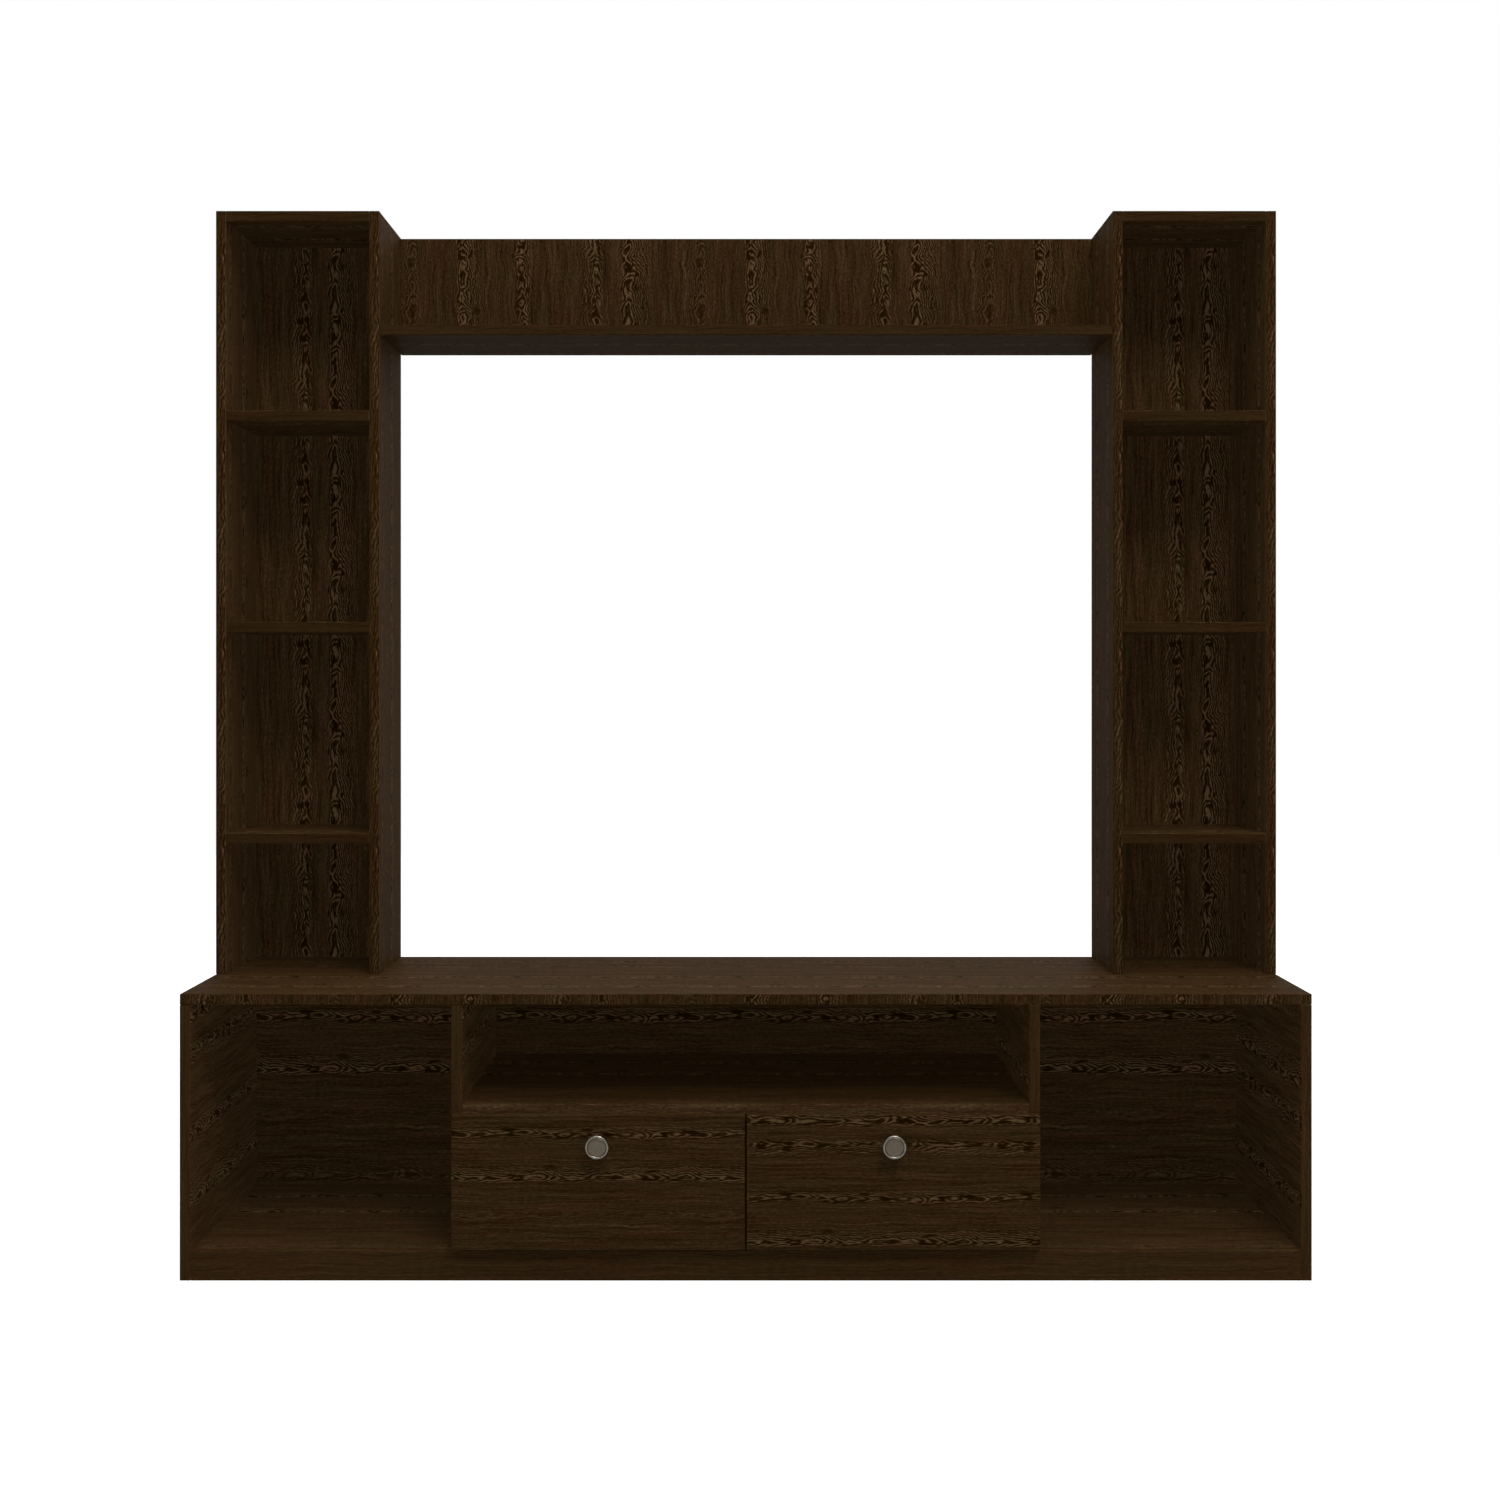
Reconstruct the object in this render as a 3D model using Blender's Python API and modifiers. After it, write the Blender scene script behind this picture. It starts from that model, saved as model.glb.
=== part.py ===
"""TV unit: a base cabinet with two drawers, two open shelf towers and a bridge shelf.

Sizes are in metres. +Z is up and the front faces -Y. The origin is on the floor, under the
middle of the outline. The drawers hang on telescopic ball runners and slide along -Y.
"""

import math

import bmesh
import bpy
from mathutils import Matrix, Vector

# Boards, and the clearances between pieces
board = 0.015
thin_board = 0.003
drawer_board = 0.012
fit_gap = 0.0003
edge_ease = 0.0006
back_margin = 0.001
back_recess = 0.0005
cut_overrun = 0.005
weld_distance = 0.00001

# Base cabinet
base_width = 1.600
base_depth = 0.400
base_height = 0.405
plinth_height = 0.042
niche_width = 0.802
drawer_bay_height = 0.1935

# Shelf towers, which stand on the base
tower_width = 0.2465
tower_depth = 0.200
tower_height = 1.152
low_bay_height = 0.1975
shelf_bay_height = 0.304
shelf_count = 3

# Bridge between the towers, over the screen
screen_height = 0.965
bridge_back_drop = 0.003

# Drawers
front_gap = 0.003
front_reveal = 0.002
front_lift = 0.0052
front_overlap = 0.0013
box_lift = 0.018
box_height = 0.140
groove_lift = 0.010
groove_depth = 0.006

# Knobs, turned from round bar
knob_drop = 0.040
knob_reach = 0.0245
knob_radius = 0.0164
knob_cap_depth = 0.0085
knob_rim_width = 0.0027
knob_rim_depth = 0.0018
knob_face_recess = 0.0003
knob_neck_radius = 0.0058
knob_foot_radius = 0.0090
knob_foot_depth = 0.0022
knob_flare = 0.0030
knob_sides = 28
knob_arc_steps = 3

# Telescopic runners: three nested steel channels on two sets of balls
runner_space = 0.013
runner_length = 0.350
runner_setback = 0.003
runner_height = 0.0455
runner_wall = 0.001
bend_radius = 0.0008
bend_steps = 3
ball_diameter = 0.003
ball_inset = 0.0015
balls_per_row = 4
ball_sides = 6
ball_rings = 4
cage_wall = 0.0006
cage_bend_radius = 0.0006
cage_edge = 0.0004
cage_length = 0.120
cage_end = 0.009
screw_hole_radius = 0.0022
access_hole_radius = 0.0045
access_hole_stretch = 0.008
slot_stretch = 0.005
hole_sides = 12
hole_shares = (0.1, 0.26, 0.9)
slot_shares = (0.18, 0.36, 0.72)

# Planes that several pieces share
total_depth = base_depth + fit_gap + board + fit_gap + knob_reach
rear = total_depth / 2
carcass_front = rear - base_depth
tower_front = rear - tower_depth
back_rear = rear - back_recess
inner_rear = back_rear - thin_board - fit_gap
base_half = base_width / 2
niche_half = niche_width / 2
top_underside = base_height - board
drawer_ceiling = plinth_height + drawer_bay_height
tower_top = base_height + tower_height
tower_inner = base_half - tower_width

# Places inside a runner, from the cabinet wall across and from its middle line up
cabinet_web = fit_gap + runner_wall / 2
cabinet_cage_web = cabinet_web + runner_wall / 2 + fit_gap + cage_wall / 2
middle_web = cabinet_cage_web + cage_wall / 2 + fit_gap + runner_wall / 2
drawer_cage_web = middle_web + runner_wall / 2 + fit_gap + cage_wall / 2
drawer_lip = drawer_cage_web + cage_wall / 2 + fit_gap + runner_wall / 2
drawer_web = runner_space - fit_gap - runner_wall / 2
cabinet_ball = cabinet_cage_web + cage_wall / 2 + ball_inset + ball_diameter / 2
drawer_ball = drawer_lip + runner_wall / 2 + fit_gap + ball_diameter / 2
ball_track = ball_diameter + 2 * fit_gap
cabinet_flange = runner_height / 2 - runner_wall / 2
middle_flange = cabinet_flange - runner_wall - ball_track
drawer_flange = middle_flange - runner_wall - ball_track
cabinet_ball_level = (cabinet_flange + middle_flange) / 2
drawer_ball_level = (middle_flange + drawer_flange) / 2

SIDES = (("left", -1), ("right", 1))


def clear_scene():
    """Remove whatever the open file holds."""
    for obj in list(bpy.data.objects):
        bpy.data.objects.remove(obj, do_unlink=True)


def make_collection(name):
    collection = bpy.data.collections.new(name)
    bpy.context.scene.collection.children.link(collection)
    return collection


def make_material(name, colour, roughness, metallic=0.0):
    """A Principled BSDF with one colour, roughness and metallic value."""
    material = bpy.data.materials.new(name)
    material.use_nodes = True
    shader = material.node_tree.nodes["Principled BSDF"]
    shader.inputs["Base Color"].default_value = (*colour, 1.0)
    shader.inputs["Roughness"].default_value = roughness
    shader.inputs["Metallic"].default_value = metallic
    return material


def finish_mesh(bm, name):
    mesh = bpy.data.meshes.new(name)
    bm.to_mesh(mesh)
    bm.free()
    return mesh


def add_piece(name, mesh, material, location, parent=None):
    """A named piece of the unit, at a place given under its parent."""
    piece = bpy.data.objects.new(name, mesh)
    mesh.materials.append(material)
    piece.location = location
    piece.parent = parent
    unit.objects.link(piece)
    return piece


def add_cutter(name, mesh, location, parent=None):
    """A guide shape that a Boolean uses, left out of the unit."""
    cutter = bpy.data.objects.new(name, mesh)
    cutter.location = location
    cutter.parent = parent
    cutter.hide_render = True
    cutter.display_type = "WIRE"
    cutters.objects.link(cutter)
    return cutter


def combine(piece, tool, operation):
    change = piece.modifiers.new(tool.name, "BOOLEAN")
    change.operation = operation
    change.solver = "EXACT"
    change.object = tool


def span(first, last):
    """The two ends of a stretch in rising order."""
    return min(first, last), max(first, last)


def box_mesh(name, size):
    bm = bmesh.new()
    bmesh.ops.create_cube(bm, size=1.0)
    bmesh.ops.scale(bm, vec=size, verts=bm.verts)
    return finish_mesh(bm, name)


def middle_and_size(spans):
    middle = [(low + high) / 2 for low, high in spans]
    size = [high - low for low, high in spans]
    return middle, size


def add_board(name, x_span, y_span, z_span, material, parent=None, ease=edge_ease):
    """A rectangular board that fills three spans, with its edges eased a little."""
    middle, size = middle_and_size((x_span, y_span, z_span))
    piece = add_piece(name, box_mesh(name, size), material, middle, parent)
    if ease:
        bevel = piece.modifiers.new("eased edges", "BEVEL")
        bevel.width = ease
        bevel.segments = 1
        bevel.limit_method = "ANGLE"
    return piece


def add_thin_board(name, x_span, y_span, z_span, material, parent=None):
    """A thin panel with plain sawn edges."""
    return add_board(name, x_span, y_span, z_span, material, parent, ease=None)


def cut_groove(piece, name, x_span, y_span, z_span, parent):
    middle, size = middle_and_size((x_span, y_span, z_span))
    cutter = add_cutter(name, box_mesh(name, size), middle, parent)
    combine(piece, cutter, "DIFFERENCE")


def build_base():
    """The low cabinet: a top that lies over its sides, and a floor behind a flush plinth."""
    between_sides = span(-base_half + board + fit_gap, base_half - board - fit_gap)
    body_depth = span(carcass_front, inner_rear)
    below_top = top_underside - fit_gap
    below_floor = plinth_height - board - fit_gap
    plinth_rear = carcass_front + board

    top_depth = span(carcass_front, rear)
    add_board("base_top", span(-base_half, base_half), top_depth, span(top_underside, base_height), laminate)
    for name, side in SIDES:
        side_x = span(side * base_half, side * (base_half - board))
        divider_x = span(side * niche_half, side * (niche_half + board))
        divider_z = span(plinth_height + fit_gap, below_top)
        add_board(f"base_side_{name}", side_x, body_depth, span(0, below_top), laminate)
        add_board(f"divider_{name}", divider_x, body_depth, divider_z, laminate)

    floor_depth = span(plinth_rear + fit_gap, inner_rear)
    floor_z = span(plinth_height - board, plinth_height)
    add_board("base_bottom", between_sides, floor_depth, floor_z, laminate)

    front_rail = span(carcass_front, plinth_rear)
    back_rail = span(inner_rear - board, inner_rear)
    brace_depth = span(plinth_rear + fit_gap, inner_rear - board - fit_gap)
    middle_board = span(-board / 2, board / 2)
    add_board("plinth_front", between_sides, front_rail, span(0, plinth_height), laminate)
    add_board("plinth_back", between_sides, back_rail, span(0, below_floor), laminate)
    add_board("plinth_brace", middle_board, brace_depth, span(0, below_floor), laminate)

    shelf_x = span(-niche_half + fit_gap, niche_half - fit_gap)
    shelf_z = span(drawer_ceiling, drawer_ceiling + board)
    partition_z = span(plinth_height + fit_gap, drawer_ceiling - fit_gap)
    add_board("niche_shelf", shelf_x, body_depth, shelf_z, laminate)
    add_board("drawer_partition", middle_board, body_depth, partition_z, laminate)

    back_x = span(-base_half + back_margin, base_half - back_margin)
    back_z = span(plinth_height - board, below_top)
    add_thin_board("base_back", back_x, span(back_rear - thin_board, back_rear), back_z, back_panel)


def build_tower(name, side):
    """An open tower of two full-height sides with a top and three shelves between them."""
    body_depth = span(tower_front, inner_rear)
    full_height = span(base_height + fit_gap, tower_top)
    outer_x = span(side * base_half, side * (base_half - board))
    inner_x = span(side * tower_inner, side * (tower_inner + board))
    between = span(side * (base_half - board - fit_gap), side * (tower_inner + board + fit_gap))
    tower = f"tower_{name}"
    add_board(f"{tower}_outer_side", outer_x, body_depth, full_height, laminate)
    add_board(f"{tower}_inner_side", inner_x, body_depth, full_height, laminate)
    add_board(f"{tower}_top", between, body_depth, span(tower_top - board, tower_top), laminate)
    for number in range(shelf_count):
        underside = base_height + low_bay_height + number * (shelf_bay_height + board)
        shelf_z = span(underside, underside + board)
        add_board(f"{tower}_shelf_{number + 1}", between, body_depth, shelf_z, laminate)

    back_x = span(side * (base_half - back_margin), side * (tower_inner + back_margin))
    back_z = span(base_height + fit_gap, tower_top - back_margin)
    add_thin_board(f"{tower}_back", back_x, span(back_rear - thin_board, back_rear), back_z, back_panel)


def build_bridge():
    """The shelf between the towers, with an upright board on its rear edge."""
    between = span(-tower_inner + fit_gap, tower_inner - fit_gap)
    underside = base_height + screen_height
    shelf_top = underside + board
    back_z = span(shelf_top + fit_gap, tower_top - bridge_back_drop)
    add_board("bridge_shelf", between, span(tower_front, rear), span(underside, shelf_top), laminate)
    add_board("bridge_back", between, span(rear - board, rear), back_z, laminate)


def knob_profile():
    """Half the knob's section as (radius, distance from the drawer front), from face to foot."""
    face_radius = knob_radius - knob_rim_width
    cap_rear = knob_reach - knob_cap_depth
    points = [(0, knob_reach - knob_face_recess)]
    points.append((face_radius - knob_face_recess, knob_reach - knob_face_recess))
    for step in range(knob_arc_steps + 1):
        angle = math.pi / 2 * step / knob_arc_steps
        radius = face_radius + knob_rim_width * math.sin(angle)
        points.append((radius, knob_reach - knob_rim_depth * (1 - math.cos(angle))))
    points.append((knob_radius, cap_rear + knob_rim_depth))
    points.append((knob_radius - knob_rim_depth, cap_rear))
    points.append((knob_neck_radius + knob_flare, cap_rear))
    for step in range(1, knob_arc_steps + 1):
        angle = math.pi / 2 * step / knob_arc_steps
        radius = knob_neck_radius + knob_flare * (1 - math.sin(angle))
        points.append((radius, cap_rear - knob_flare * (1 - math.cos(angle))))
    flare_foot = knob_foot_radius - knob_neck_radius
    for step in range(knob_arc_steps + 1):
        angle = math.pi / 2 * step / knob_arc_steps
        radius = knob_neck_radius + flare_foot * (1 - math.cos(angle))
        points.append((radius, knob_foot_depth + flare_foot * (1 - math.sin(angle))))
    points.append((knob_foot_radius, 0))
    points.append((0, 0))
    return points


def add_knob(name, location, parent):
    """A round pull with a rimmed face, turned about the line that points out of the drawer."""
    bm = bmesh.new()
    ring = [bm.verts.new((radius, 0, height)) for radius, height in knob_profile()]
    for first, second in zip(ring, ring[1:]):
        bm.edges.new((first, second))
    mesh = finish_mesh(bm, name)
    knob = add_piece(name, mesh, nickel, location, parent)
    knob.rotation_euler = (math.pi / 2, 0, 0)
    turn = knob.modifiers.new("turned", "SCREW")
    turn.axis = "Z"
    turn.steps = knob_sides
    turn.render_steps = knob_sides
    turn.use_merge_vertices = True
    turn.merge_threshold = weld_distance
    turn.use_smooth_shade = True


def build_drawer(name, side):
    """A drawer box on two runners, with a laid-on front and a knob. Its empty is the slide."""
    opening = niche_half - board / 2
    centre = side * (board / 2 + opening / 2)
    runner_level = plinth_height + box_lift + box_height / 2
    slide = bpy.data.objects.new(f"drawer_{name}_slide", None)
    slide.location = (centre, carcass_front, runner_level)
    unit.objects.link(slide)
    drawer = f"drawer_{name}"

    front_x = span(side * front_gap / 2 - centre, side * (niche_half + board - front_reveal) - centre)
    front_y = span(-fit_gap - board, -fit_gap)
    front_bottom = plinth_height + front_lift - runner_level
    front_top = drawer_ceiling + front_overlap - runner_level
    front = add_board(f"{drawer}_front", front_x, front_y, span(front_bottom, front_top), laminate, slide)

    outer_half = opening / 2 - runner_space
    inner_half = outer_half - drawer_board
    box_length = runner_setback + runner_length
    box_z = span(-box_height / 2, box_height / 2)
    groove_bottom = -box_height / 2 + groove_lift
    groove_z = span(groove_bottom, groove_bottom + thin_board + 2 * fit_gap)
    groove_half = inner_half + groove_depth
    for place, way in (("outer", side), ("inner", -side)):
        wall_x = span(way * inner_half, way * outer_half)
        wall_name = f"{drawer}_wall_{place}"
        wall = add_board(wall_name, wall_x, span(0, box_length), box_z, drawer_laminate, slide)
        cut_x = span(way * (inner_half - cut_overrun), way * groove_half)
        cut_y = span(-cut_overrun, box_length + cut_overrun)
        cut_groove(wall, f"{wall_name}_groove", cut_x, cut_y, groove_z, slide)

    cut_x = span(-groove_half, groove_half)
    cut_y = span(-fit_gap - groove_depth, cut_overrun)
    cut_groove(front, f"{drawer}_front_groove", cut_x, cut_y, groove_z, slide)

    panel_half = groove_half - fit_gap
    panel_z = span(groove_bottom + fit_gap, groove_bottom + fit_gap + thin_board)
    panel_y = span(-groove_depth, box_length)
    add_thin_board(f"{drawer}_bottom", span(-panel_half, panel_half), panel_y, panel_z, back_panel, slide)

    back_x = span(-inner_half + fit_gap, inner_half - fit_gap)
    back_y = span(box_length - drawer_board, box_length)
    back_z = span(panel_z[1] + fit_gap, box_height / 2)
    add_board(f"{drawer}_back", back_x, back_y, back_z, drawer_laminate, slide)

    knob_x = sum(front_x) / 2
    knob_y = front_y[0] - fit_gap
    add_knob(f"{drawer}_knob", (knob_x, knob_y, front_top - knob_drop), slide)

    partition_face = side * board / 2
    divider_face = side * niche_half
    build_runner(f"{name}_outer_runner", divider_face, -side, runner_level)
    build_runner(f"{name}_inner_runner", partition_face, side, runner_level)


def rounded_path(corners, radius):
    """The corners of an open path with an arc of the given radius at each bend."""
    points = [Vector(corner) for corner in corners]
    path = [points[0]]
    for before, corner, after in zip(points, points[1:], points[2:]):
        back = (before - corner).normalized()
        ahead = (after - corner).normalized()
        centre = corner + radius * (back + ahead)
        for step in range(bend_steps + 1):
            angle = math.pi / 2 * step / bend_steps
            path.append(centre - radius * (ahead * math.cos(angle) + back * math.sin(angle)))
    path.append(points[-1])
    return path


def channel_path(web, flange, lip, lip_level):
    """A channel's section: a web, two flanges and the lips that keep its balls in."""
    corners = [(lip, -lip_level), (lip, -flange), (web, -flange)]
    corners += [(web, flange), (lip, flange), (lip, lip_level)]
    return corners


def add_strip(name, corners, radius, wall, y_span, way, material, location):
    """A bent strip of sheet metal: its section pushed along the runner and given a wall."""
    bm = bmesh.new()
    start, end = y_span
    section = rounded_path(corners, radius)
    ring = [bm.verts.new((way * across, start, level)) for across, level in section]
    edges = [bm.edges.new(pair) for pair in zip(ring, ring[1:])]
    pushed = bmesh.ops.extrude_edge_only(bm, edges=edges)
    new_verts = [item for item in pushed["geom"] if isinstance(item, bmesh.types.BMVert)]
    bmesh.ops.translate(bm, vec=(0, end - start, 0), verts=new_verts)
    bmesh.ops.recalc_face_normals(bm, faces=bm.faces)
    strip = add_piece(name, finish_mesh(bm, name), material, location)
    thickness = strip.modifiers.new("wall", "SOLIDIFY")
    thickness.thickness = wall
    thickness.offset = 0.0
    thickness.use_even_offset = True
    return strip


def drill_web(member, web, way, holes, location):
    """Holes through a member's web, each given as (share of its length, radius, stretch along it)."""
    bm = bmesh.new()
    for share, radius, stretch in holes:
        made = bmesh.ops.create_cone(
            bm,
            cap_ends=True,
            segments=hole_sides,
            radius1=radius,
            radius2=radius,
            depth=runner_wall + 2 * fit_gap,
        )
        bmesh.ops.rotate(bm, verts=made["verts"], matrix=across_web)
        for vert in made["verts"]:
            vert.co.y += math.copysign(stretch / 2, vert.co.y)
        bmesh.ops.translate(bm, verts=made["verts"], vec=(way * web, share * runner_length, 0))
    name = f"{member.name}_holes"
    combine(member, add_cutter(name, finish_mesh(bm, name), location), "DIFFERENCE")


def add_cage(name, web, ball, level, way, location):
    """A ball cage: a thin U-shaped strip with a row of balls held in each of its arms."""
    start = (runner_length - cage_length) / 2
    reach = ball + ball_diameter / 2 + cage_edge
    corners = [(reach, -level), (web, -level), (web, level), (reach, level)]
    y_span = (start, start + cage_length)
    cage = add_strip(name, corners, cage_bend_radius, cage_wall, y_span, way, cage_steel, location)
    pitch = (cage_length - 2 * cage_end) / (balls_per_row - 1)
    bm = bmesh.new()
    for row in (-level, level):
        for number in range(balls_per_row):
            made = bmesh.ops.create_uvsphere(
                bm, u_segments=ball_sides, v_segments=ball_rings, radius=ball_diameter / 2
            )
            place = (way * ball, start + cage_end + number * pitch, row)
            bmesh.ops.translate(bm, verts=made["verts"], vec=place)
    balls = add_cutter(f"{name}_balls", finish_mesh(bm, f"{name}_balls"), location)
    combine(cage, balls, "UNION")


def build_runner(name, wall_face, way, level):
    """A full-extension runner from the cabinet wall at wall_face towards the drawer."""
    location = (wall_face, carcass_front + runner_setback, level)
    full = (0, runner_length)
    cabinet_reach = cabinet_ball + ball_diameter / 2 + cage_edge + fit_gap + runner_wall / 2
    cabinet_lip_level = cabinet_ball_level + cage_wall / 2
    cabinet_corners = channel_path(cabinet_web, cabinet_flange, cabinet_reach, cabinet_lip_level)
    middle_reach = drawer_ball + ball_diameter / 2 + cage_edge + fit_gap + runner_wall / 2
    middle_lip_level = drawer_ball_level + cage_wall / 2
    middle_corners = channel_path(middle_web, middle_flange, middle_reach, middle_lip_level)
    drawer_lip_level = drawer_ball_level - cage_wall / 2 - fit_gap
    drawer_corners = channel_path(drawer_web, drawer_flange, drawer_lip, drawer_lip_level)
    screw_holes = [(share, screw_hole_radius, 0) for share in hole_shares]
    screw_slots = [(share, screw_hole_radius, slot_stretch) for share in slot_shares]
    access_holes = [(share, access_hole_radius, access_hole_stretch) for share in hole_shares]
    members = (
        ("cabinet", cabinet_corners, cabinet_web, screw_holes + screw_slots),
        ("middle", middle_corners, middle_web, access_holes),
        ("drawer", drawer_corners, drawer_web, screw_holes + screw_slots),
    )
    for part, corners, web, holes in members:
        member_name = f"{name}_{part}_member"
        member = add_strip(member_name, corners, bend_radius, runner_wall, full, way, zinc, location)
        drill_web(member, web, way, holes, location)
    add_cage(f"{name}_cabinet_cage", cabinet_cage_web, cabinet_ball, cabinet_ball_level, way, location)
    add_cage(f"{name}_drawer_cage", drawer_cage_web, drawer_ball, drawer_ball_level, way, location)


clear_scene()
unit = make_collection("tv_unit")
cutters = make_collection("cutters")
laminate = make_material("dark_wenge_laminate", (0.022, 0.013, 0.007), 0.35)
back_panel = make_material("thin_wenge_board", (0.020, 0.012, 0.007), 0.45)
drawer_laminate = make_material("drawer_box_laminate", (0.026, 0.016, 0.009), 0.5)
nickel = make_material("satin_nickel", (0.42, 0.39, 0.34), 0.32, 1.0)
zinc = make_material("zinc_plated_steel", (0.48, 0.49, 0.50), 0.35, 1.0)
cage_steel = make_material("cage_steel", (0.36, 0.37, 0.38), 0.45, 1.0)

# Turns a hole's cutter from upright to across the web, with a flat at its top and bottom
half_side_turn = Matrix.Rotation(math.pi / hole_sides, 3, "Z")
across_web = Matrix.Rotation(math.pi / 2, 3, "Y") @ half_side_turn

build_base()
build_bridge()
for side_name, side_way in SIDES:
    build_tower(side_name, side_way)
    build_drawer(side_name, side_way)
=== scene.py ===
# %% [markdown]
# # A dark wenge tv unit
#
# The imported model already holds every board, drawer and runner at its real size. This lesson dresses
# it: a camera and a plain studio first, then the printed laminate that covers the boards, then the
# metal, and last the small hardware that a joiner screws on. All lengths are in metres, +Z is up and
# the front faces -Y.

# %% Load the fixed frame
import math

import bpy
from mathutils import Matrix, Vector


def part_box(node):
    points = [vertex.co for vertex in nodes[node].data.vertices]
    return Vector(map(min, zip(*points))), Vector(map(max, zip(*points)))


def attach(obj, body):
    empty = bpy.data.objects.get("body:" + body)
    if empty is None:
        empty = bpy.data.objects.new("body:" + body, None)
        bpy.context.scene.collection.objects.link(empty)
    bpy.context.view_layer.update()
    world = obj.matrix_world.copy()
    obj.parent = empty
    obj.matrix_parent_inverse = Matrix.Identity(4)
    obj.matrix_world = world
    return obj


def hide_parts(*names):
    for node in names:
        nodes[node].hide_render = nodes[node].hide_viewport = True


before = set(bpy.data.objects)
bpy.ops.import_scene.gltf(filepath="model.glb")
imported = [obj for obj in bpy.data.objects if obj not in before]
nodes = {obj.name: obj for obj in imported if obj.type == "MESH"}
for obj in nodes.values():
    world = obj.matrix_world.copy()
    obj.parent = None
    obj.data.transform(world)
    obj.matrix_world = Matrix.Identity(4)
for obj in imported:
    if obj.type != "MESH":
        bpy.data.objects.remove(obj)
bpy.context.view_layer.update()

# %% [markdown]
# ## Camera
#
# The photograph was taken square to the front, with the horizon above the middle of the picture. A
# level camera keeps all uprights parallel, so the view is lowered with a shift of the lens and not by
# tilting the camera. Its distance follows from how much smaller the rear edges look than the front.

# %% Camera at the photograph's place
camera_side = 0.006
camera_distance = 2.944
camera_height = 0.8475
lens_mm = 50.0
sensor_mm = 36.0
picture_pixels = 1500
horizon_pixel = 681

front_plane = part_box("base_top")[0].y
lens = bpy.data.cameras.new("studio_camera")
lens.lens = lens_mm
lens.sensor_width = sensor_mm
lens.shift_y = (horizon_pixel - picture_pixels / 2) / picture_pixels
camera = bpy.data.objects.new("studio_camera", lens)
camera.location = (camera_side, front_plane - camera_distance, camera_height)
camera.rotation_euler = (math.radians(90), 0, 0)
bpy.context.scene.collection.objects.link(camera)
bpy.context.scene.camera = camera
bpy.context.scene.view_settings.view_transform = "Standard"
print("camera at", [round(v, 3) for v in camera.location], "shift", round(lens.shift_y, 4))

# %% [markdown]
# ## Small helpers for shader nodes
#
# A procedural material is a graph. A few tiny helpers keep it readable. The first puts a number, a
# colour or another node's output into a socket. Most of the others add a node and hand back its
# result, so a graph can be written like a sum.

# %% Node helpers
mix_sockets = {"FLOAT": (2, 3, 0), "VECTOR": (4, 5, 1), "RGBA": (6, 7, 2)}


def feed(tree, value, socket):
    if isinstance(value, bpy.types.NodeSocket):
        tree.links.new(value, socket)
    else:
        socket.default_value = value


def maths(tree, operation, *values):
    made = tree.nodes.new("ShaderNodeMath")
    made.operation = operation
    for value, socket in zip(values, made.inputs):
        feed(tree, value, socket)
    return made.outputs[0]


def plus(tree, *terms):
    total = terms[0]
    for term in terms[1:]:
        total = maths(tree, "ADD", total, term)
    return total


def times(tree, *terms):
    total = terms[0]
    for term in terms[1:]:
        total = maths(tree, "MULTIPLY", total, term)
    return total


def blend(tree, first, first_share, second):
    """Two values added by shares that make up one."""
    return plus(tree, times(tree, first, first_share), times(tree, second, 1 - first_share))


def mixed(tree, data_type, share, first, second, blend_type="MIX"):
    """Two numbers, vectors or colours mixed: the second one where the share is 1."""
    first_socket, second_socket, result = mix_sockets[data_type]
    made = tree.nodes.new("ShaderNodeMix")
    made.data_type = data_type
    made.blend_type = blend_type
    feed(tree, share, made.inputs[0])
    feed(tree, first, made.inputs[first_socket])
    feed(tree, second, made.inputs[second_socket])
    return made.outputs[result]


def map_range(tree, value, source, target, interpolation="LINEAR"):
    """Carries a value from the source range to the target range, and stops at its ends."""
    made = tree.nodes.new("ShaderNodeMapRange")
    made.interpolation_type = interpolation
    feed(tree, value, made.inputs["Value"])
    for socket, limit in zip(("From Min", "From Max", "To Min", "To Max"), (*source, *target)):
        made.inputs[socket].default_value = limit
    return made.outputs["Result"]


def coordinates(tree, kind):
    return tree.nodes.new("ShaderNodeTexCoord").outputs[kind]


def separate(tree, vector):
    """A vector's parts, to be picked by X, Y or Z."""
    made = tree.nodes.new("ShaderNodeSeparateXYZ")
    feed(tree, vector, made.inputs[0])
    return made.outputs


def combine(tree, *parts):
    made = tree.nodes.new("ShaderNodeCombineXYZ")
    for part, socket in zip(parts, made.inputs):
        feed(tree, part, socket)
    return made.outputs[0]


def stretched(tree, place, factors):
    made = tree.nodes.new("ShaderNodeVectorMath")
    made.operation = "MULTIPLY"
    feed(tree, place, made.inputs[0])
    made.inputs[1].default_value = factors
    return made.outputs[0]


def noise(tree, place, scale=1.0, detail=2.0, roughness=0.5):
    made = tree.nodes.new("ShaderNodeTexNoise")
    feed(tree, place, made.inputs["Vector"])
    feed(tree, scale, made.inputs["Scale"])
    made.inputs["Detail"].default_value = detail
    made.inputs["Roughness"].default_value = roughness
    return made.outputs["Fac"]


def ramp(tree, value, stops):
    """A colour ramp through stops of (position, linear colour), in rising order."""
    made = tree.nodes.new("ShaderNodeValToRGB")
    feed(tree, value, made.inputs[0])
    elements = made.color_ramp.elements
    elements.remove(elements[1])
    elements[0].position = stops[0][0]
    elements[0].color = (*stops[0][1], 1.0)
    for position, colour in stops[1:]:
        elements.new(position).color = (*colour, 1.0)
    return made.outputs["Color"]


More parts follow.
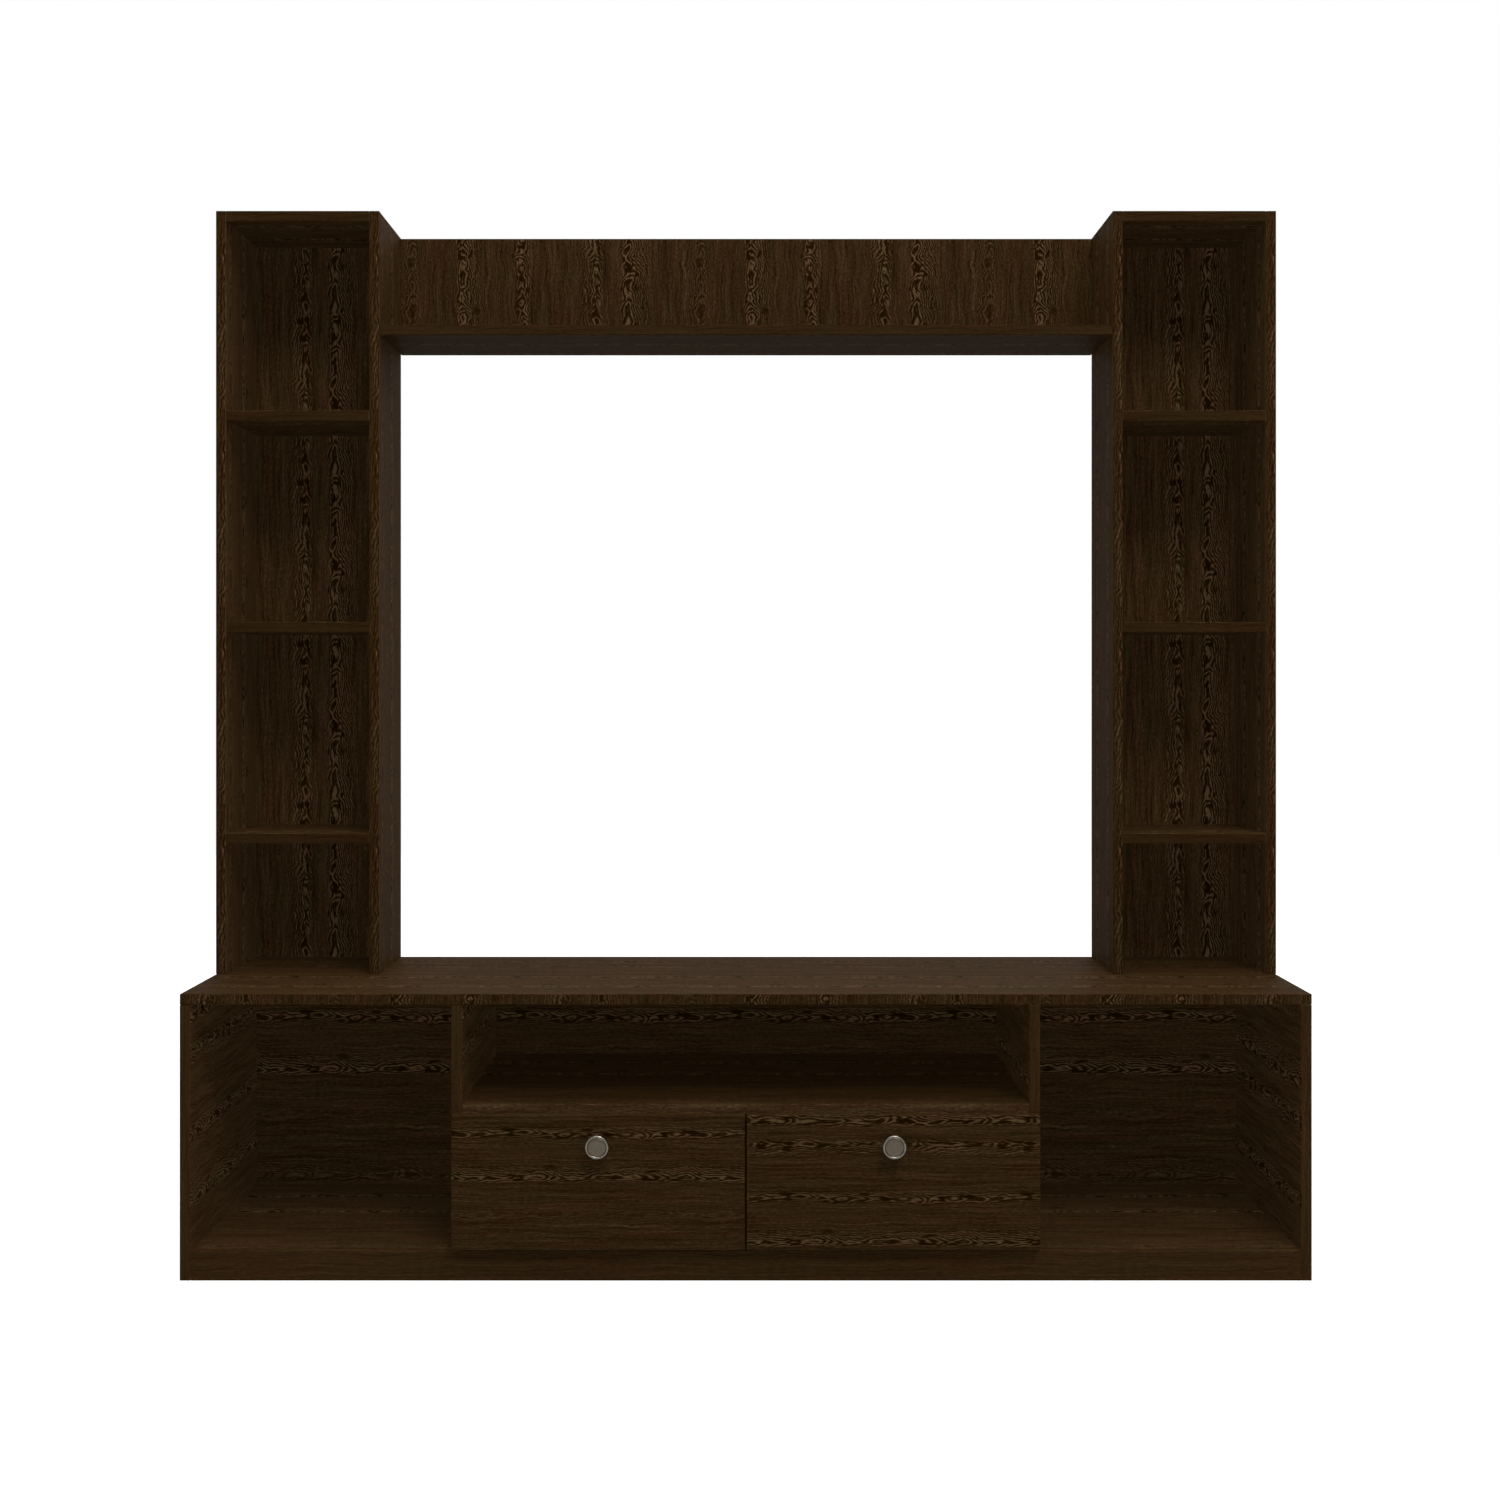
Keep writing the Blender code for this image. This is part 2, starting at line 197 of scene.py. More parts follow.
def from_screen(colour):
    """A colour as read off a screen, 0 to 255, in the linear values that shaders use."""
    shares = [value / 255 for value in colour]
    return tuple(((s + 0.055) / 1.055) ** 2.4 if s > 0.04045 else s / 12.92 for s in shares)


def screen_ramp(tree, value, stops):
    """A colour ramp whose stops are given as (position, screen colour)."""
    return ramp(tree, value, [(position, from_screen(colour)) for position, colour in stops])


def bump(tree, shader, height, strength, depth, invert=False):
    """Small bumps on the shader's surface, from a height. The depth is in metres."""
    made = tree.nodes.new("ShaderNodeBump")
    made.inputs["Strength"].default_value = strength
    made.inputs["Distance"].default_value = depth
    made.invert = invert
    feed(tree, height, made.inputs["Height"])
    feed(tree, made.outputs["Normal"], shader.inputs["Normal"])


def blank_material(name):
    """A new material with its node tree and its Principled BSDF."""
    material = bpy.data.materials.new(name)
    material.use_nodes = True
    return material, material.node_tree, material.node_tree.nodes["Principled BSDF"]


print("helpers ready")

# %% [markdown]
# ## Studio
#
# The unit stands before white. Turning the lamps up until the floor burns out would also grey the
# dark wood, so the white is given only to rays that come from the camera, or that mirror the studio
# in metal and gloss. The floor adds that light to its own shading, so a soft shadow still shows.
#
# Metal shows what stands round it. An evenly white room would leave the knobs flat, so in mirrors the
# backdrop, the ceiling and the floor are white, and the room in front and at the sides is grey.

# %% Floor and world
floor_size = 14.0
floor_paint = (0.30, 0.30, 0.30, 1.0)
floor_roughness = 0.9
near_lift, far_lift = 0.86, 1.0
near_reach, far_reach = 1.3, 3.2
white = (1.0, 1.0, 1.0, 1.0)

# How bright the floor is in mirrors, how bright the room is for the wood, and its grey in mirrors.
mirrored_floor = 0.55
ambient = 0.20
room_grey = 0.40

# From grey to white: for the backdrop by how far a ray goes back, for the ceiling by how far it rises.
backdrop_rise = (-0.1, 0.2)
ceiling_rise = (0.30, 0.75)


def seen_directly(tree, in_mirrors=1.0):
    """1 for rays from the camera, and a share of that for rays that mirror or pass glass."""
    path = tree.nodes.new("ShaderNodeLightPath")
    bent = maths(tree, "MAXIMUM", path.outputs["Is Glossy Ray"], path.outputs["Is Transmission Ray"])
    return maths(tree, "MAXIMUM", path.outputs["Is Camera Ray"], times(tree, bent, in_mirrors))


bpy.ops.mesh.primitive_plane_add(size=floor_size, location=(0, 0, 0))
floor = bpy.context.active_object
floor.name = "studio_floor"
material, tree, shader = blank_material("studio_floor_paint")
shader.inputs["Base Color"].default_value = floor_paint
shader.inputs["Roughness"].default_value = floor_roughness
shader.inputs["Specular IOR Level"].default_value = 0.0
shader.inputs["Emission Color"].default_value = white
distance = tree.nodes.new("ShaderNodeVectorMath")
distance.operation = "LENGTH"
feed(tree, coordinates(tree, "Object"), distance.inputs[0])
lift = map_range(tree, distance.outputs["Value"], (near_reach, far_reach), (near_lift, far_lift))
feed(tree, times(tree, seen_directly(tree, mirrored_floor), lift), shader.inputs["Emission Strength"])
floor.data.materials.append(material)

world = bpy.data.worlds.new("studio_world")
bpy.context.scene.world = world
world.use_nodes = True
tree = world.node_tree
background = tree.nodes["Background"]
direction = separate(tree, coordinates(tree, "Generated"))
rising = maths(tree, "ABSOLUTE", direction["Z"])
white_parts = maths(
    tree, "MAXIMUM",
    map_range(tree, direction["Y"], backdrop_rise, (room_grey, 1.0), "SMOOTHSTEP"),
    map_range(tree, rising, ceiling_rise, (room_grey, 1.0), "SMOOTHSTEP"),
)
mirrored = maths(tree, "MAXIMUM", white_parts, seen_directly(tree, in_mirrors=0.0))
background.inputs["Color"].default_value = white
lit = mixed(tree, "FLOAT", seen_directly(tree), ambient, mirrored)
feed(tree, lit, background.inputs["Strength"])
print("floor", floor_size, "ambient", ambient)

# %% [markdown]
# ## Light
#
# A large soft lamp stands before the unit, high and a little to the right, so each bay is darker near
# its top. One lamp hangs over the unit for the upper sides, and a weak one stands behind it. The fills
# cast no shadow and aren't mirrored: they stand for the light that a white studio sends back from
# all around, also from its floor.

# %% Soft lamps
def add_soft_lamp(name, place, target, size, watts):
    lamp = bpy.data.lights.new(name, "AREA")
    lamp.shape = "RECTANGLE"
    lamp.size, lamp.size_y = size
    lamp.energy = watts
    holder = bpy.data.objects.new(name, lamp)
    holder.location = place
    holder.rotation_euler = (Vector(target) - Vector(place)).to_track_quat("-Z", "Y").to_euler()
    bpy.context.scene.collection.objects.link(holder)
    return holder


unit_middle = (0, 0, 0.75)
over_base = (0, 0, 0.4)
add_soft_lamp("key_lamp", place=(1.6, -4.6, 5.9), target=unit_middle, size=(2.4, 2.0), watts=292)
add_soft_lamp("top_lamp", place=(0, -0.4, 3.4), target=over_base, size=(2.6, 1.6), watts=88)
add_soft_lamp("rear_lamp", place=(1.2, 2.8, 3.0), target=unit_middle, size=(1.5, 1.5), watts=50)

fills = (
    add_soft_lamp("top_fill", place=(0, -1.6, 6.6), target=unit_middle, size=(3.0, 3.0), watts=106),
    add_soft_lamp("right_fill", place=(3.6, -1.3, 0.9), target=unit_middle, size=(1.5, 1.5), watts=80),
    add_soft_lamp("left_fill", place=(-3.6, -1.3, 0.9), target=unit_middle, size=(1.5, 1.5), watts=64),
    add_soft_lamp("low_fill", place=(0, -0.3, -2.4), target=unit_middle, size=(1.5, 1.5), watts=30),
)
for fill in fills:
    fill.data.use_shadow = False
    fill.visible_glossy = False

# %% [markdown]
# ## The wenge print
#
# The boards are covered with a printed wenge laminate. Real wenge shows fine straight lines where the
# growth rings stand square to the face, and bands of lively figure where they lie almost flat in it.
# A picture could give that, but a formula can be sharp at any distance: the rings are counted by a
# height field, and each whole number of it draws one ring. Between the bands the field is steep, so the
# rings run straight and close. In a band it levels out, so its bumps show as arches, ladders and
# eyes. A laminate is printed from a cylinder, so the pattern repeats: along the grain it is wound on
# a circle, and across the grain only the remainder after whole repeats is used.

# %% Bands of the print
print_width = 0.461
print_length = 0.331

# Each band: its place across the print as a share of the width, how far its figure reaches to the
# low and to the high side in metres, and how strong it is.
print_bands = (
    (0.000, 0.004, 0.034, 1.00),
    (0.208, 0.009, 0.012, 0.85),
    (0.466, 0.026, 0.008, 0.80),
    (0.575, 0.004, 0.036, 1.00),
    (0.829, 0.036, 0.006, 0.42),
)
band_core = 0.0062
band_shift = 0.05

# After a fifth of its reach a band still has this share of its strength.
shoulder = 0.2
fade_share = 0.78

# Half gaps between bands that are as wide as this, in metres, let the field rise to its full height.
full_gap = 0.05


def band_strength_stops():
    """The figure's strength across one repeat: a quick rise on one side, a slow fall on the other."""
    stops = [(0.0, 0.0)]
    for share, low_reach, high_reach, strength in print_bands:
        middle = share + band_shift
        for way, reach in ((-1, low_reach), (1, high_reach)):
            side = [
                (middle + way * (reach + band_core) / print_width, 0.0),
                (middle + way * (shoulder * reach + band_core) / print_width, fade_share * strength),
                (middle + way * band_core / print_width, strength),
            ]
            stops += side[::-way]
    stops.append((1.0, 0.0))
    return stops


def ring_height_stops():
    """How far a place is from the nearest band's middle: 0 in a band, 1 half way to the next one."""
    middles = [share + band_shift for share, low_reach, high_reach, strength in print_bands]
    after = middles[1:] + [middles[0] + 1]
    stops = []
    for middle, following in zip(middles, after):
        stops.append((middle, 0.0))
        half_way = (middle + following) / 2
        half_gap = (following - middle) / 2 * print_width
        stops.append((half_way % 1.0, min(1.0, half_gap / full_gap)))
    stops.sort()
    first, last = stops[0], stops[-1]
    seam = (first[0] * last[1] + (1 - last[0]) * first[1]) / (first[0] + 1 - last[0])
    return [(0.0, seam)] + stops + [(1.0, seam)]


print("bands across", round(print_width * 1000), "mm:", len(print_bands))

# %% [markdown]
# The print is a node group, so that all boards share one graph. It takes a place on the laminate, as
# metres along and across the grain, and how calm the second half of the repeat is kept. It gives back
# a tone from dark to light, the fine pores, and how warm the tint is.
#
# All its irregular parts are noise round zero, stretched along the grain. Below stand their sizes
# first, then how much each one counts.

# %% The print as a node group
# Size along and across the grain in metres, then detail and roughness where they aren't usual.
drift_noise = (0.050, 0.080)
curl_noise = (0.024, 0.016)
flow_noise = (0.042, 0.014)
broad_noise = (0.050, 0.040)
fine_noise = (0.016, 0.005)
fibre_noise = (0.090, 0.0018, 3.0, 0.6)
cloud_noise = (0.200, 0.0075)
fleck_noise = (0.0065, 0.0015, 2.0)
line_noise = (0.100, 0.0012)
eye_noise = (0.024, 0.0070, 0.0)
pore_noise = (0.0045, 0.00045, 0.0)
warm_noise = (0.150, 0.020)

# How far the bands wander, as a share of the width, and how far the lines curl and flow, in metres.
drift = 0.030
curl = 0.0030
flow = 0.0035

# Rings between two bands, arches along one repeat, and how many rings the noise moves them by.
steep_rings = 15.0
arches = 9
broad_rings = 6.5
fine_rings = 1.1
level_middle = 0.016

# The tone's middle, and what each part adds to it. Flecks grow with the figure, rings follow it.
middle_tone = 0.47
fibre_swing = 0.98
cloud_swing = 0.45
fleck_swing, fleck_in_figure = 0.95, 0.35
ring_swing, ring_power = 0.50, 0.85
figure_lift = 0.02
line_limit, line_swing = 0.08, -2.4
eye_limit, eye_swing = 0.13, -15.0
pore_limit, pore_depth = 0.16, 6.0
warm_middle, warm_swing = 0.5, 1.6
calm_from = 0.40

wenge = bpy.data.node_groups.new("wenge_print", "ShaderNodeTree")
for in_out, names in (("INPUT", ("Along", "Across", "Calm")), ("OUTPUT", ("Tone", "Pores", "Warmth"))):
    for name in names:
        wenge.interface.new_socket(name, in_out=in_out, socket_type="NodeSocketFloat")
group_in = wenge.nodes.new("NodeGroupInput")
group_out = wenge.nodes.new("NodeGroupOutput")

turn = times(wenge, group_in.outputs["Along"], 2 * math.pi / print_length)
circle_radius = print_length / (2 * math.pi)
repeats = maths(wenge, "DIVIDE", group_in.outputs["Across"], print_width)
share_across = maths(wenge, "FRACT", plus(wenge, repeats, band_shift))


def on_print(across_share):
    """The place on the printing cylinder: its two round directions and its length."""
    round_x = times(wenge, maths(wenge, "COSINE", turn), circle_radius)
    round_y = times(wenge, maths(wenge, "SINE", turn), circle_radius)
    return combine(wenge, round_x, round_y, times(wenge, across_share, print_width))


def mottle(place, along_size, across_size, detail=1.0, roughness=0.5):
    """Noise round zero, whose features have these sizes in metres along and across the grain."""
    spot = stretched(wenge, place, (1 / along_size, 1 / along_size, 1 / across_size))
    return maths(wenge, "SUBTRACT", noise(wenge, spot, 1.0, detail, roughness), 0.5)


def above(value, limit):
    """What a value has over a limit, and nothing below it."""
    return maths(wenge, "MAXIMUM", maths(wenge, "SUBTRACT", value, limit), 0.0)


def share_ramp(stops, across_share):
    return ramp(wenge, across_share, [(position, (value,) * 3) for position, value in stops])


# The bands wander a little, and the lines curl where the figure is lively.
still = on_print(share_across)
near_band = share_ramp(band_strength_stops(), share_across)
drifting = times(wenge, mottle(still, *drift_noise), drift)
curling = times(wenge, mottle(still, *curl_noise), near_band, curl / print_width)
flowing = times(wenge, mottle(still, *flow_noise), flow / print_width)
bent_share = plus(wenge, share_across, drifting, curling, flowing)
place = on_print(bent_share)
second_half = maths(wenge, "GREATER_THAN", bent_share, calm_from + band_shift)
calmed = maths(wenge, "SUBTRACT", 1.0, times(wenge, group_in.outputs["Calm"], second_half))
strength = times(wenge, share_ramp(band_strength_stops(), bent_share), calmed)
away = share_ramp(ring_height_stops(), bent_share)

rings = plus(
    wenge,
    times(wenge, maths(wenge, "SQRT", plus(wenge, times(wenge, away, away), level_middle)), steep_rings),
    times(wenge, turn, arches / (2 * math.pi)),
    times(wenge, mottle(place, *broad_noise), broad_rings),
    times(wenge, mottle(place, *fine_noise), fine_rings),
)
wave = maths(wenge, "SINE", times(wenge, rings, 2 * math.pi))
thin_lines = above(mottle(place, *line_noise), line_limit)
eyes = above(mottle(still, *eye_noise), eye_limit)
pores = above(mottle(place, *pore_noise), pore_limit)
flecks = plus(wenge, times(wenge, strength, fleck_in_figure), fleck_swing)

tone = plus(
    wenge,
    middle_tone,
    times(wenge, mottle(place, *fibre_noise), fibre_swing),
    times(wenge, mottle(place, *cloud_noise), cloud_swing),
    times(wenge, mottle(place, *fleck_noise), flecks),
    times(wenge, wave, maths(wenge, "POWER", strength, ring_power), ring_swing),
    times(wenge, strength, figure_lift),
    times(wenge, thin_lines, line_swing),
    times(wenge, eyes, strength, strength, strength, eye_swing),
)
warmth = plus(wenge, times(wenge, mottle(place, *warm_noise), warm_swing), warm_middle)
feed(wenge, tone, group_out.inputs["Tone"])
feed(wenge, times(wenge, pores, pore_depth), group_out.inputs["Pores"])
feed(wenge, warmth, group_out.inputs["Warmth"])
print("print group:", len(wenge.nodes), "nodes")

# %% [markdown]
# ## Laminate on each board
#
# A board is cut from a printed sheet, so its two large faces share one print, and a strip of edge
# band covers each cut edge. The face is told by its normal: each of the three directions has its own
# grain direction, its own place on the print and its own scale. Object coordinates serve, because a
# board's object sits at the origin and its mesh holds its place.
#
# The thin backs are raw on their rear side. That is pressed hardboard, with the print of a wire mesh.

# %% Laminate builder
plain_tones = (
    (0.00, (21, 11, 1)),
    (0.25, (34, 22, 9)),
    (0.46, (43, 30, 15)),
    (0.68, (55, 40, 24)),
    (1.00, (76, 59, 41)),
)
olive_tint = (0.90, 1.04, 0.95, 1.0)
red_tint = (1.12, 0.96, 1.00, 1.0)
laminate_roughness = 0.60
pore_roughness = 0.25
laminate_shine = 0.003
facing_limit = 0.8

hardboard_tones = ((0.30, (66, 46, 29)), (0.50, (88, 63, 41)), (0.70, (112, 83, 56)))
hardboard_roughness = 0.85
fibre_scale = (420, 420, 240)
hardboard_cloud_scale = 14.0
mesh_pitch = 0.0016


def strip(along, across, start, band_place, size=1.0, stretch=1.0):
    """How the print lies on one direction of faces: what face_place asks after its coords."""
    return along, across, start, band_place, size, stretch


def face_place(tree, coords, along, across, start, band_place, size, stretch):
    """Metres along and across the print for one face direction of a board."""
    moved = tree.nodes.new("ShaderNodeMapping")
    feed(tree, combine(tree, coords[along], coords[across]), moved.inputs["Vector"])
    moved.inputs["Location"].default_value = (-start / (size * stretch), -band_place / size, 0)
    moved.inputs["Scale"].default_value = (1 / (size * stretch), 1 / size, 1)
    return moved.outputs[0]


def looks_along(tree, normal, axis):
    """1 on faces that look along this axis, either way."""
    return maths(tree, "GREATER_THAN", maths(tree, "ABSOLUTE", normal[axis]), facing_limit)


def raw_hardboard(tree, place):
    """Colour and height of unfaced hardboard: pressed fibres, and the print of the wire mesh."""
    fibres = noise(tree, stretched(tree, place, fibre_scale), detail=4.0, roughness=0.65)
    tone = blend(tree, fibres, 0.75, noise(tree, place, hardboard_cloud_scale))
    spot = separate(tree, stretched(tree, place, (2 * math.pi / mesh_pitch,) * 3))
    height = times(tree, maths(tree, "SINE", spot["X"]), maths(tree, "SINE", spot["Z"]))
    return screen_ramp(tree, tone, hardboard_tones), height


def finish_print(tree, shader, figure, tone, rear, place):
    """Colour, gloss and pores of the print, and the raw rear side where there is one."""
    tint = mixed(tree, "RGBA", figure.outputs["Warmth"], olive_tint, red_tint)
    colour = mixed(tree, "RGBA", 1.0, screen_ramp(tree, tone, plain_tones), tint, "MULTIPLY")
    height = figure.outputs["Pores"]
    rough = plus(tree, laminate_roughness, times(tree, height, pore_roughness))
    if rear is not None:
        raw_colour, raw_height = raw_hardboard(tree, place)
        colour = mixed(tree, "RGBA", rear, colour, raw_colour)
        height = mixed(tree, "FLOAT", rear, height, raw_height)
        rough = mixed(tree, "FLOAT", rear, rough, hardboard_roughness)
    feed(tree, colour, shader.inputs["Base Color"])
    feed(tree, rough, shader.inputs["Roughness"])
    shader.inputs["Specular IOR Level"].default_value = laminate_shine
    bump(tree, shader, height, strength=0.25, depth=0.0002, invert=True)


def laminate(name, faces, tone_and_painted_light, edge_tone_and_painted_light, calm, soft_fronts, raw_rear):
    """Printed laminate. faces gives a strip for each of the X, Y and Z faces."""
    material, tree, shader = blank_material(name)
    place = coordinates(tree, "Object")
    coords = separate(tree, place)
    normal = separate(tree, coordinates(tree, "Normal"))
    chosen = None
    for axis, strip_of_face in faces.items():
        this_face = face_place(tree, coords, *strip_of_face)
        if chosen is None:
            chosen = this_face
        else:
            chosen = mixed(tree, "VECTOR", looks_along(tree, normal, axis), chosen, this_face)
    spot = separate(tree, chosen)
    figure = tree.nodes.new("ShaderNodeGroup")
    figure.node_tree = wenge
    feed(tree, spot["X"], figure.inputs["Along"])
    feed(tree, spot["Y"], figure.inputs["Across"])
    figure.inputs["Calm"].default_value = calm
    fronts = looks_along(tree, normal, "Y")
    # Painted light and painted shade: the tone is shifted over the whole board and again on faces that look
    # along Y, to even out how brightly the lamps light each board.
    tone_and_light_shifts = plus(tree, times(tree, fronts, edge_tone_and_painted_light), tone_and_painted_light)
    swing = maths(tree, "SUBTRACT", figure.outputs["Tone"], middle_tone)
    kept = maths(tree, "SUBTRACT", 1.0, times(tree, fronts, soft_fronts))
    tone = plus(tree, times(tree, swing, kept), plus(tree, tone_and_light_shifts, middle_tone))
    rear = maths(tree, "GREATER_THAN", normal["Y"], facing_limit) if raw_rear else None
    finish_print(tree, shader, figure, tone, rear, place)
    return material


def cover(node_names, material):
    for name in node_names:
        mesh = nodes[name].data
        mesh.materials.clear()
        mesh.materials.append(material)


print("laminate builder ready")

# %% [markdown]
# Each board gets its own place on the print, as a sheet saw would cut it. The board's box says which
# way it is thin. Its broad faces show the figure, and its edges get strips from a plain zone of the
# print, unless an edge is given its own strip. On plain front edges the figure is also softened,
# because edge band is printed more faintly than the sheet. Each board's tone can also be shifted, over
# the whole board and once more on its faces that look along Y. These shifts are painted light and
# painted shade: boards and faces that lie in shade are lifted, and those the lamps light strongly are
# darkened.

# %% Laying the print on a board
plain_zone = 0.125
edge_softness = 0.5


def lay(
    name, grain, band_place, size=1.0, stretch=1.0, start=0.0,
    tone_and_painted_light=0.0, edge_tone_and_painted_light=0.0, calm=0.0, soft_fronts=None, edges=None, raw_rear=False,
):
    """Covers one board, with a band's middle at band_place on its broad faces.

    Its tone shifts are painted light: they lift it where it lies in shadow and darken it where the lamps
    light it strongly.
    """
    low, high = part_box(name)
    extent = high - low
    thin_axis = min(range(3), key=lambda axis: extent[axis])
    thin = "XYZ"[thin_axis]
    across = next(axis for axis in "XYZ" if axis not in (grain, thin))
    edge_place = low[thin_axis] - plain_zone
    faces = {
        thin: strip(grain, across, start, band_place, size, stretch),
        across: strip(grain, thin, start, edge_place),
        grain: strip(across, thin, start, edge_place),
    }
    faces.update(edges or {})
    if soft_fronts is None:
        soft_fronts = 0.0 if thin == "Y" or edges else edge_softness
    cover([name], laminate(f"wenge_{name}", faces, tone_and_painted_light, edge_tone_and_painted_light, calm, soft_fronts, raw_rear))


print("ready to lay the print")

# %% Boards of the base
side_stretch = 0.9
top_strip = strip("Z", "X", start=0.1, band_place=-0.494, size=1.09, stretch=0.5)
shelf_strip = strip("X", "Z", start=0.02, band_place=0.0525)

# Painted light and painted shade on the base: the top is darkened where the lamps light it strongly, the
# sides and the bay floor are lifted because they lie in shade, the niche shelf is darkened on its top, which
# lies in shade, and lightened on its front edge, and the back is lifted a little.
lay("base_top", "X", -0.108, tone_and_painted_light=-0.05, edge_tone_and_painted_light=-0.02, calm=0.4, edges={"Y": top_strip})
for side, band_place, start in (("left", 0.1086, 0.05), ("right", 0.012, 0.13)):
    placed = {"band_place": band_place, "stretch": side_stretch, "start": start}
    lay(f"base_side_{side}", "Y", tone_and_painted_light=0.07, edge_tone_and_painted_light=-0.07, **placed)
    lay(f"divider_{side}", "Y", **placed)
lay("base_bottom", "X", 0.039, start=0.10, tone_and_painted_light=0.06, calm=0.8)
lay("niche_shelf", "X", 0.039, start=0.10, tone_and_painted_light=-0.10, edge_tone_and_painted_light=0.30, calm=0.8, edges={"Y": shelf_strip})
for name in ("plinth_front", "plinth_back", "plinth_brace"):
    lay(name, "X", -0.400, stretch=1.5, start=0.03, soft_fronts=0.45)
# Painted shade: the partition is darkened so that the gap between the drawer fronts shows dark.
lay("drawer_partition", "Y", 0.020, tone_and_painted_light=-0.3)
lay("base_back", "X", 0.2252, size=0.87, stretch=1.2, tone_and_painted_light=0.02, calm=0.7, raw_rear=True)
print("base covered")

# %% Drawer fronts
# Painted shade: both fronts are darkened a little, so that they come out as bright as wanted under these
# lamps.
lay("drawer_left_front", "X", 0.1491, size=0.64, stretch=1.6, start=0.02, tone_and_painted_light=-0.03, calm=0.6)
lay("drawer_right_front", "X", 0.0587, size=0.64, stretch=1.6, start=0.41, tone_and_painted_light=-0.03)
print("fronts covered")

# %% Boards of the towers and the bridge
third_band = print_bands[3][0] * print_width
lively_edge = 0.186
back_size = 0.92
shelf_step = 0.07

# Painted light and painted shade on the towers: the backs and the outer sides are lifted because they lie in
# shade, the inner sides are darkened a little, and the front edges of the sides and shelves are darkened
# where the lamps light them strongly.
for side, band_place, side_place in (("left", -0.660, 0.129), ("right", 0.7389, 0.064)):
    back_place = band_place - back_size * third_band
    lay(f"tower_{side}_back", "Z", back_place, back_size, stretch=0.85, start=0.14, tone_and_painted_light=0.03, raw_rear=True)
    for board, tone_and_painted_light, edge_tone_and_painted_light in (("outer_side", 0.10, -0.20), ("inner_side", -0.04, -0.05)):
        name = f"tower_{side}_{board}"
        edge = strip("Z", "X", start=0.21, band_place=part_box(name)[0].x - lively_edge, stretch=side_stretch)
        tone_and_light_shifts = {"tone_and_painted_light": tone_and_painted_light, "edge_tone_and_painted_light": edge_tone_and_painted_light}
        lay(name, "Z", side_place, stretch=side_stretch, start=0.07, edges={"Y": edge}, **tone_and_light_shifts)
    for number, shelf in enumerate(("top", "shelf_1", "shelf_2", "shelf_3")):
        lay(f"tower_{side}_{shelf}", "X", 0.06, start=0.15 + shelf_step * number, edge_tone_and_painted_light=-0.17)
# Painted shade: the bridge shelf is darkened for its underside, which lies in shade, and its front edge is
# lifted back part of the way; the bridge back is darkened where the lamps light it strongly.
lay("bridge_shelf", "X", 0.11, start=0.15, tone_and_painted_light=-0.21, edge_tone_and_painted_light=0.09)
lay("bridge_back", "Z", 0.007, stretch=0.65, start=0.12, tone_and_painted_light=-0.10)
print("towers and bridge covered")

# %% [markdown]
# ## Drawer boxes and steel
#
# The parts that the fronts hide are plainer: a matt dark melamine on the drawer walls, and bright
# zinc on the runners. Each still has its own fine surface, because the drawers open.

# %% Matt melamine and zinc
melamine_tones = ((0.2, (36, 25, 15)), (0.8, (60, 45, 30)))
melamine_grain = (900, 9, 900)
speckle_scale = 2500.0
rolled_sheet = (1500, 20, 1500)
round_bar = (300, 300, 300)
steel_cloud_scale = 60.0


def melamine(name):
    """Matt coated board: a faint grain along Y under fine speckles."""
    material, tree, shader = blank_material(name)
    place = coordinates(tree, "Object")
    grain = noise(tree, stretched(tree, place, melamine_grain))
    speckle = noise(tree, place, speckle_scale, detail=1.0)
    colour = screen_ramp(tree, blend(tree, grain, 0.7, speckle), melamine_tones)
    feed(tree, colour, shader.inputs["Base Color"])
    shader.inputs["Roughness"].default_value = 0.55
    shader.inputs["Specular IOR Level"].default_value = 0.2
    bump(tree, shader, speckle, strength=0.2, depth=0.0001)
    return material


def steel(name, dark, light, roughness, grain):
    """Bright metal: the marks of rolling, stretched by the grain's factors, under soft clouds."""
    material, tree, shader = blank_material(name)
    place = coordinates(tree, "Object")
    rolled = noise(tree, stretched(tree, place, grain), detail=3.0)
    cloud = noise(tree, place, steel_cloud_scale, detail=3.0)
    colour = screen_ramp(tree, blend(tree, rolled, 0.5, cloud), ((0.3, dark), (0.7, light)))
    feed(tree, colour, shader.inputs["Base Color"])
    shader.inputs["Metallic"].default_value = 1.0
    feed(tree, plus(tree, roughness, times(tree, rolled, 0.15)), shader.inputs["Roughness"])
    return material


zinc = steel("bright_zinc", (168, 170, 174), (206, 208, 212), 0.24, rolled_sheet)
cage_metal = steel("cage_steel_finish", (130, 132, 136), (170, 172, 176), 0.30, rolled_sheet)
box_laminate = melamine("matt_melamine")
for side in ("left", "right"):
    cover([f"drawer_{side}_{part}" for part in ("wall_outer", "wall_inner", "back", "bottom")], box_laminate)
    for place in ("outer", "inner"):
        runner = f"{side}_{place}_runner"
        cover([f"{runner}_{part}_member" for part in ("cabinet", "middle", "drawer")], zinc)
        cover([f"{runner}_{part}_cage" for part in ("cabinet", "drawer")], cage_metal)
print("drawer boxes and runners covered")

# %% [markdown]
# ## Knobs
#
# Each drawer has one round knob, turned from bar and plated in satin nickel. Its rim stands a little
# proud of a flat face and is polished, and its nickel is given a lighter tint than the face: a painted
# highlight that, with the polish, makes a bright ring. A turned part is one outline swept round an
# axis. Here a ring of points is added on the axis, then extruded and resized again and again, as one
# would do by hand, and both ends are closed.

# %% A helper for turned parts
smooth_below = math.radians(35)


